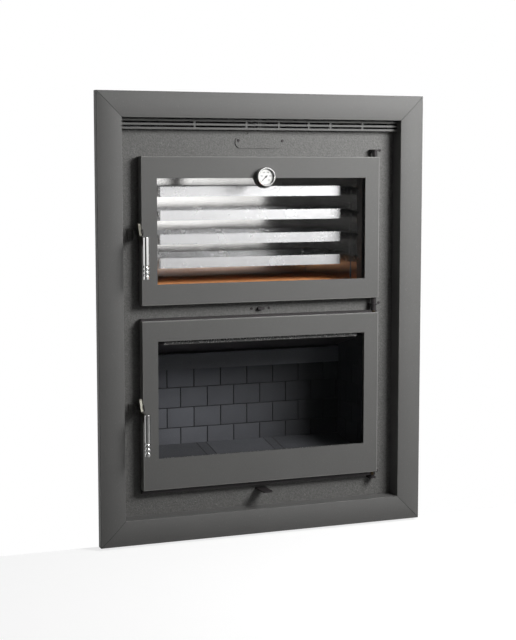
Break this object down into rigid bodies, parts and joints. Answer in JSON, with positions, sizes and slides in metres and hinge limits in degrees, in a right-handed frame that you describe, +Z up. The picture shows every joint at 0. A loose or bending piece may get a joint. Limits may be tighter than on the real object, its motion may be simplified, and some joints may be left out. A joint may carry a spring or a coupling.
{
  "type": "built-in wood-fired oven",
  "caption": "Built-in wood-fired oven: glazed fire door below, glazed oven door with thermometer and trays above, hinged in a steel front with a trim frame; flue spigot on top.",
  "frame": {"origin": "centre of the base on the floor, midway between front plate and casing back", "axes": "+X to the hinge side, +Y into the wall, +Z up; the doors face -Y"},
  "size_m": [0.85, 0.495, 1.09],
  "materials": {
    "trim_paint": "matte heat paint, fine sand grain",
    "plate_paint": "matte heat paint, coarser grain",
    "door_paint": "matte heat paint, fine sand grain",
    "black_steel": "black heat paint",
    "body_steel": "plain primed steel",
    "casing_steel": "galvanised sheet",
    "stainless": "bright stainless sheet",
    "tray_steel": "polished stainless sheet",
    "grip_steel": "polished stainless",
    "latch_steel": "brushed stainless",
    "screw_steel": "blackened steel",
    "brass_bush": "turned",
    "rope": "braided glass rope",
    "ceramic_glass": "clear ceramic glass",
    "lens_glass": "clear",
    "dial_face": "printed white",
    "gauge_steel": "blackened case",
    "needle_black": "satin black",
    "firebrick": "sooty vermiculite lining board",
    "clay_slab": "fired clay"
  },
  "bodies": {
    "stove": {"trim_left": "trim_paint", "trim_right": "trim_paint", "trim_top": "trim_paint", "trim_bottom": "trim_paint", "front_plate": "plate_paint", "grille": "black_steel", "blank_plate": "plate_paint", "panel_screws": "screw_steel", "hinge_brackets": "black_steel", "hinge_pins": "latch_steel", "hinge_collars": "black_steel", "latch_keepers": "black_steel", "body_shell": "body_steel", "flue_collar": "body_steel", "oven_muffle": "stainless", "tray_runners": "black_steel", "oven_slab": "clay_slab", "back_linings": "firebrick", "side_linings": "firebrick", "hearth_slabs": "firebrick", "baffle": "firebrick", "air_bar": "body_steel", "damper_shelf": "body_steel", "air_box": "body_steel", "casing_wrap": "casing_steel", "casing_top": "casing_steel", "casing_base": "casing_steel", "base_frame": "body_steel", "casing_screws": "casing_steel"},
    "oven_door": {"oven_door_frame": "door_paint", "oven_door_liner": "black_steel", "oven_door_rope": "rope", "oven_glass": "ceramic_glass", "oven_glass_tape": "rope", "oven_glass_clips": "black_steel", "oven_door_bushes": "brass_bush", "oven_latch_stud": "black_steel", "gauge_case": "gauge_steel", "gauge_dial": "dial_face", "gauge_lens": "lens_glass", "gauge_stem": "stainless"},
    "fire_door": {"fire_door_frame": "door_paint", "fire_door_liner": "door_paint", "fire_door_rope": "rope", "fire_glass": "ceramic_glass", "fire_glass_tape": "rope", "fire_glass_rails": "black_steel", "fire_door_bushes": "brass_bush", "fire_latch_stud": "black_steel"},
    "oven_latch": {"oven_latch_plate": "latch_steel", "oven_grip": "grip_steel"},
    "fire_latch": {"fire_latch_plate": "latch_steel", "fire_grip": "grip_steel"},
    "needle": {"gauge_needle": "needle_black"},
    "damper": {"damper_slide": "black_steel"},
    "air_control": {"air_slide": "black_steel"},
    "oven_tray_1": {"tray_1": "tray_steel"},
    "oven_tray_2": {"tray_2": "tray_steel"},
    "oven_tray_3": {"tray_3": "tray_steel"},
    "oven_tray_4": {"tray_4": "tray_steel"}
  },
  "joints": [
    {"name": "oven_door_hinge", "type": "hinge", "parent": "stove", "child": "oven_door", "pos_m": [0.3045, -0.219, 0.76], "axis": [0, 0, 1], "range_deg": [0, 115]},
    {"name": "fire_door_hinge", "type": "hinge", "parent": "stove", "child": "fire_door", "pos_m": [0.3045, -0.219, 0.338], "axis": [0, 0, 1], "range_deg": [0, 115]},
    {"name": "oven_latch_turn", "type": "hinge", "parent": "oven_door", "child": "oven_latch", "pos_m": [-0.32, -0.238, 0.758], "axis": [-1, 0, 0], "range_deg": [0, 45]},
    {"name": "fire_latch_turn", "type": "hinge", "parent": "fire_door", "child": "fire_latch", "pos_m": [-0.32, -0.238, 0.3375], "axis": [-1, 0, 0], "range_deg": [0, 45]},
    {"name": "needle_turn", "type": "hinge", "parent": "oven_door", "child": "needle", "pos_m": [0, -0.2415, 0.889], "axis": [0, 1, 0], "range_deg": [0, 270]},
    {"name": "tray_1_slide", "type": "slide", "parent": "stove", "child": "oven_tray_1", "axis": [0, -1, 0], "range_m": [0, 0.045]},
    {"name": "tray_2_slide", "type": "slide", "parent": "stove", "child": "oven_tray_2", "axis": [0, -1, 0], "range_m": [0, 0.045]},
    {"name": "tray_3_slide", "type": "slide", "parent": "stove", "child": "oven_tray_3", "axis": [0, -1, 0], "range_m": [0, 0.045]},
    {"name": "tray_4_slide", "type": "slide", "parent": "stove", "child": "oven_tray_4", "axis": [0, -1, 0], "range_m": [0, 0.045]},
    {"name": "damper_pull", "type": "slide", "parent": "stove", "child": "damper", "axis": [0, -1, 0], "range_m": [0, 0.08]},
    {"name": "air_push", "type": "slide", "parent": "stove", "child": "air_control", "axis": [0, 1, 0], "range_m": [0, 0.04]}
  ]
}
